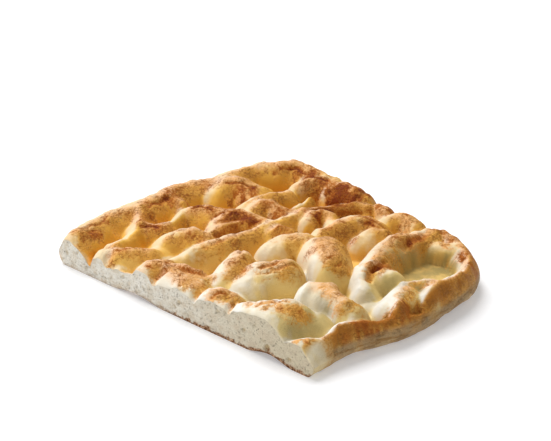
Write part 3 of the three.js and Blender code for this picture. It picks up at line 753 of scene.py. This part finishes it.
# ---------- materials ----------
class Nodes:
    """Short ways to add shader nodes."""

    def __init__(self, name):
        self.material = bpy.data.materials.new(name)
        self.material.use_nodes = True
        self.tree = self.material.node_tree
        self.tree.nodes.clear()
        self.shader = self.tree.nodes.new("ShaderNodeBsdfPrincipled")
        output = self.tree.nodes.new("ShaderNodeOutputMaterial")
        self.tree.links.new(self.shader.outputs[0], output.inputs[0])
        self.place = self.tree.nodes.new("ShaderNodeTexCoord").outputs["Object"]

    def link(self, source, socket):
        if isinstance(source, (int, float, tuple)):
            socket.default_value = source
        else:
            self.tree.links.new(source, socket)

    def attribute(self, name):
        node = self.tree.nodes.new("ShaderNodeAttribute")
        node.attribute_name = name
        return node.outputs["Fac"]

    def math(self, operation, a, b=0.0):
        node = self.tree.nodes.new("ShaderNodeMath")
        node.operation = operation
        self.link(a, node.inputs[0])
        self.link(b, node.inputs[1])
        return node.outputs[0]

    def times(self, a, b):
        return self.math("MULTIPLY", a, b)

    def plus(self, a, b):
        return self.math("ADD", a, b)

    def minus(self, a, b):
        return self.math("SUBTRACT", a, b)

    def step(self, value, low, high, to_low=0.0, to_high=1.0):
        """Goes smoothly from to_low to to_high while the value goes from low to high."""
        node = self.tree.nodes.new("ShaderNodeMapRange")
        node.interpolation_type = "SMOOTHSTEP"
        for source, socket in zip((value, low, high, to_low, to_high), node.inputs):
            self.link(source, socket)
        return node.outputs[0]

    def mix(self, factor, a, b):
        node = self.tree.nodes.new("ShaderNodeMix")
        node.data_type = "RGBA"
        self.link(factor, node.inputs["Factor"])
        self.link(a, node.inputs[6])
        self.link(b, node.inputs[7])
        return node.outputs[2]

    def noise(self, size_mm, detail=2.0, roughness=0.5, stretch=(1, 1, 1)):
        """Soft noise from 0 to 1 with features of about that size."""
        mapping = self.tree.nodes.new("ShaderNodeMapping")
        mapping.inputs["Scale"].default_value = stretch
        self.tree.links.new(self.place, mapping.inputs["Vector"])
        node = self.tree.nodes.new("ShaderNodeTexNoise")
        node.inputs["Scale"].default_value = 1000 / size_mm
        node.inputs["Detail"].default_value = detail
        node.inputs["Roughness"].default_value = roughness
        self.tree.links.new(mapping.outputs[0], node.inputs["Vector"])
        return node.outputs["Fac"]

    def cracks(self, size_mm, width):
        """1 along thin broken lines where soft noise passes its middle, and 0 elsewhere."""
        fold = self.math("ABSOLUTE", self.minus(self.noise(size_mm, 4.0, 0.6, (1, 1, 1.6)), 0.5))
        broken = self.step(self.noise(size_mm * 2.2, 2.0), 0.42, 0.58)
        return self.times(self.step(fold, width, 0.0), broken)

    def bump(self, height, depth_mm, strength):
        node = self.tree.nodes.new("ShaderNodeBump")
        node.inputs["Strength"].default_value = strength
        node.inputs["Distance"].default_value = depth_mm * MM
        self.link(height, node.inputs["Height"])
        self.tree.links.new(node.outputs[0], self.shader.inputs["Normal"])

    def surface(self, roughness, specular):
        self.shader.inputs["Roughness"].default_value = roughness
        self.shader.inputs["Specular IOR Level"].default_value = specular


# Lit and shaded copies of the dough and its tan, for painted light and shade; the shaded gold is also the
# dimples' own.
LIT_CREAM = (0.84, 0.81, 0.73, 1)
LIT_GOLDEN_CREAM = (0.84, 0.62, 0.30, 1)
SHADED_STRAW = (0.76, 0.58, 0.24, 1)
SHADE_OLIVE = (0.36, 0.27, 0.095, 1)
SHADED_GOLDEN = (0.88, 0.51, 0.09, 1)
SHADED_DEEP_GOLD = (0.66, 0.31, 0.035, 1)
SHEEN_PINK = (0.88, 0.50, 0.25, 1)
SHADED_GOLDEN_BROWN = (0.72, 0.35, 0.06, 1)
LIT_TAN = (0.93, 0.68, 0.47, 1)
TAN = (0.84, 0.45, 0.16, 1)
RIM_BROWN = (0.46, 0.17, 0.02, 1)
BROWN = (0.44, 0.13, 0.012, 1)
DARK_BROWN = (0.20, 0.035, 0.002, 1)
WALL_TAN_AND_SHADE = (0.44, 0.29, 0.14, 1)
WALL_STREAK = (0.33, 0.18, 0.06, 1)
CRUMB_COLOUR = (0.80, 0.76, 0.67, 1)
CRUMB_RIGHT = (0.62, 0.54, 0.38, 1)
CRUMB_SHADE = (0.60, 0.50, 0.36, 1)
PORE_SHADE = (0.50, 0.38, 0.20, 1)
BASE_BROWN_AND_SHADOW = (0.17, 0.065, 0.02, 1)
BASE_TAN = (0.55, 0.33, 0.19, 1)
FLOOR_GREY = (0.74, 0.74, 0.75, 1)
FLOOR_GLOW = 0.3


def dough_and_tan(n, blotches):
    """The colour of pale dough, and of its first browning, from lit flanks to shaded ones."""
    gold_and_shade = n.plus(n.attribute("gold_and_shade"), n.times(blotches, 0.3))
    # painted light and shade: the lit copy on flanks facing the lamp, the shaded copy on those falling away
    lit = n.mix(n.times(n.attribute("back_left"), 0.75), LIT_CREAM, LIT_GOLDEN_CREAM)
    shaded = n.mix(n.attribute("back_left"), SHADED_STRAW, n.mix(n.attribute("deep"), SHADED_GOLDEN, SHADED_DEEP_GOLD))
    dough = n.mix(n.step(gold_and_shade, 0.0, 0.85), lit, shaded)
    lit_tan = n.mix(n.step(gold_and_shade, -0.1, 0.3), LIT_TAN, TAN)
    tan = n.mix(n.step(gold_and_shade, 0.2, 0.95), lit_tan, SHADED_GOLDEN_BROWN)
    # painted shade: dull olive at the listed places
    return n.mix(n.attribute("painted_shade"), dough, SHADE_OLIVE), tan


def browned_colour(n, level, blotches, grain):
    """The crust from pale dough through tan and brown to its darkest, with painted sheen on the mounds' lit
    tops.
    """
    dough, tan = dough_and_tan(n, blotches)
    colour = n.mix(n.step(level, 0.12, 0.56), dough, tan)
    colour = n.mix(n.step(level, 0.5, 1.0), colour, BROWN)
    colour = n.mix(n.step(level, 0.9, 1.25), colour, DARK_BROWN)
    # painted sheen on the lit tops, broken up by the grain
    painted_sheen = n.times(n.attribute("crown"), n.step(grain, 0.12, -0.1, 0.0, 0.7))
    return n.mix(n.times(painted_sheen, n.step(level, 0.85, 0.55)), colour, SHEEN_PINK)


def with_rim_and_wall(n, colour, level, blotches, grain):
    """Adds the right shoulder's dark strip, the streaked side with painted shade, and the base line, part
    painted shadow.
    """
    mottle = n.plus(n.noise(16, 3.0, 0.6), n.times(grain, 0.5))
    strip = n.times(n.attribute("strip"), n.step(mottle, 0.3, 0.6, 0.3, 1.0))
    colour = n.mix(strip, colour, n.mix(n.step(level, 0.7, 1.1), RIM_BROWN, BROWN))
    streaks = n.noise(6, 3.0, 0.6, (0.35, 0.35, 2.2))
    # the side's streaks over its tan, which is darkened as painted shade
    streaked = n.mix(n.step(streaks, 0.45, 0.65), WALL_TAN_AND_SHADE, WALL_STREAK)
    wall = n.times(n.attribute("wall"), n.step(n.noise(12, 2.0), 0.25, 0.6, 0.55, 1.0))
    colour = n.mix(wall, colour, streaked)
    # the dark line along the base: baked crust and painted contact shadow
    base = n.plus(n.attribute("near_base"), n.times(blotches, 1.2))
    return n.mix(n.step(base, 0.75, 1.1), colour, BASE_BROWN_AND_SHADOW)


def crust_material():
    n = Nodes("crust")
    blotches = n.minus(n.noise(9, 3.0, 0.6), 0.5)
    grain = n.minus(n.noise(1.7, 3.0, 0.65), 0.5)
    rugged = n.step(n.attribute("band"), 0.0, 1.0, 1.0, 0.5)
    brown = n.attribute("brown")
    uneven = n.times(n.step(brown, 0.05, 0.4), rugged)
    level = n.plus(brown, n.times(uneven, n.plus(n.times(blotches, 0.35), grain)))
    specks = n.times(n.step(n.noise(1.1, 2.0, 0.7), 0.60, 0.70), n.step(level, 0.25, 0.6, 0.0, 0.8))
    cracks = n.times(n.cracks(4.5, 0.05), n.step(level, 0.2, 0.5, 0.0, 0.85))

    colour = browned_colour(n, level, blotches, grain)
    colour = n.mix(n.times(specks, rugged), colour, DARK_BROWN)
    colour = n.mix(n.times(cracks, rugged), colour, BROWN)
    colour = with_rim_and_wall(n, colour, level, blotches, grain)
    n.link(colour, n.shader.inputs["Base Color"])
    n.surface(roughness=0.5, specular=0.12)
    rough = n.times(grain, n.step(level, 0.1, 0.5, 0.3, 1.4))
    rough = n.minus(rough, n.times(cracks, 0.5))
    n.bump(n.plus(rough, n.times(n.noise(0.8, 1.0), 0.4)), depth_mm=1.0, strength=1.0)
    return n.material


def crumb_material():
    n = Nodes("crumb")
    soft = n.noise(5, 3.0, 0.6)
    pores = n.step(n.noise(1.6, 3.0, 0.7), 0.58, 0.75)
    speck = n.noise(1.3, 2.0, 0.6)
    colour = n.mix(n.attribute("right"), CRUMB_COLOUR, CRUMB_RIGHT)
    colour = n.mix(n.step(n.noise(7, 4.0, 0.65), 0.4, 0.7, 0.0, 0.75), colour, CRUMB_SHADE)
    # pores drawn dark as their holes' shade, and painted shade where the crumb stands further in
    colour = n.mix(n.times(pores, n.step(soft, 0.4, 0.65, 0.02, 0.5)), colour, PORE_SHADE)
    colour = n.mix(n.times(n.attribute("depth"), 0.9), colour, PORE_SHADE)
    colour = n.mix(n.times(n.step(speck, 0.5, 0.62), 0.3), colour, CRUMB_SHADE)

    # baked crumbs and painted contact shadow along the base, most of them towards the right
    ragged = n.times(n.minus(n.noise(3.5, 4.0, 0.7), 0.5), 2.2)
    edge = n.step(n.plus(n.attribute("near_base"), ragged), 0.3, 0.75)
    crumbs = n.times(edge, n.step(n.attribute("right"), 0.02, 0.25, 0.3, 1.0))
    colour = n.mix(crumbs, colour, n.mix(n.step(speck, 0.42, 0.56), BASE_TAN, BASE_BROWN_AND_SHADOW))
    tanned_end = n.times(n.attribute("left_end"), n.step(soft, 0.25, 0.6))
    colour = n.mix(tanned_end, colour, LIT_TAN)
    n.link(colour, n.shader.inputs["Base Color"])
    n.surface(roughness=0.85, specular=0.2)
    n.bump(n.minus(n.noise(1.1, 3.0, 0.6), n.times(pores, 0.8)), depth_mm=1.0, strength=1.1)
    return n.material


def floor_material():
    """Pale and a little bright of itself, so that shadows on it stay light."""
    n = Nodes("floor")
    n.shader.inputs["Base Color"].default_value = FLOOR_GREY
    n.shader.inputs["Roughness"].default_value = 0.9
    n.shader.inputs["Emission Color"].default_value = (1, 1, 1, 1)
    n.shader.inputs["Emission Strength"].default_value = FLOOR_GLOW
    return n.material


# ---------- floor and light, in metres and watts ----------
FLOOR_HALF = 4.0
LIGHT_DISTANCE = 3.5
WORLD_LIGHT = 0.33


def add_floor():
    half = FLOOR_HALF
    corners = [(-half, -half, 0), (half, -half, 0), (half, half, 0), (-half, half, 0)]
    mesh = bpy.data.meshes.new("floor")
    mesh.from_pydata(corners, [], [(0, 1, 2, 3)])
    mesh.materials.append(floor_material())
    floor = bpy.data.objects.new("floor", mesh)
    bpy.context.scene.collection.objects.link(floor)


def add_light(name, direction, size, watts):
    data = bpy.data.lights.new(name, "AREA")
    data.shape = "DISK"
    data.size = size
    data.energy = watts
    light = bpy.data.objects.new(name, data)
    way = Vector(direction).normalized()
    light.location = way * LIGHT_DISTANCE
    light.rotation_euler = way.to_track_quat("Z", "Y").to_euler()
    bpy.context.scene.collection.objects.link(light)


def add_world(strength):
    world = bpy.data.worlds.new("studio")
    world.use_nodes = True
    background = world.node_tree.nodes["Background"]
    background.inputs["Color"].default_value = (1, 1, 1, 1)
    background.inputs["Strength"].default_value = strength
    bpy.context.scene.world = world


loaf = build_loaf()
loaf.data.materials.append(crust_material())
loaf.data.materials.append(crumb_material())
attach(loaf, "root")
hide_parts("bread")

add_floor()
add_world(WORLD_LIGHT)
add_light("key", direction=(-0.49, 0.17, 0.85), size=2.6, watts=134)
add_light("fill", direction=(-0.42, -0.90, 0.14), size=2.2, watts=52)
bpy.context.scene.view_settings.view_transform = "Standard"
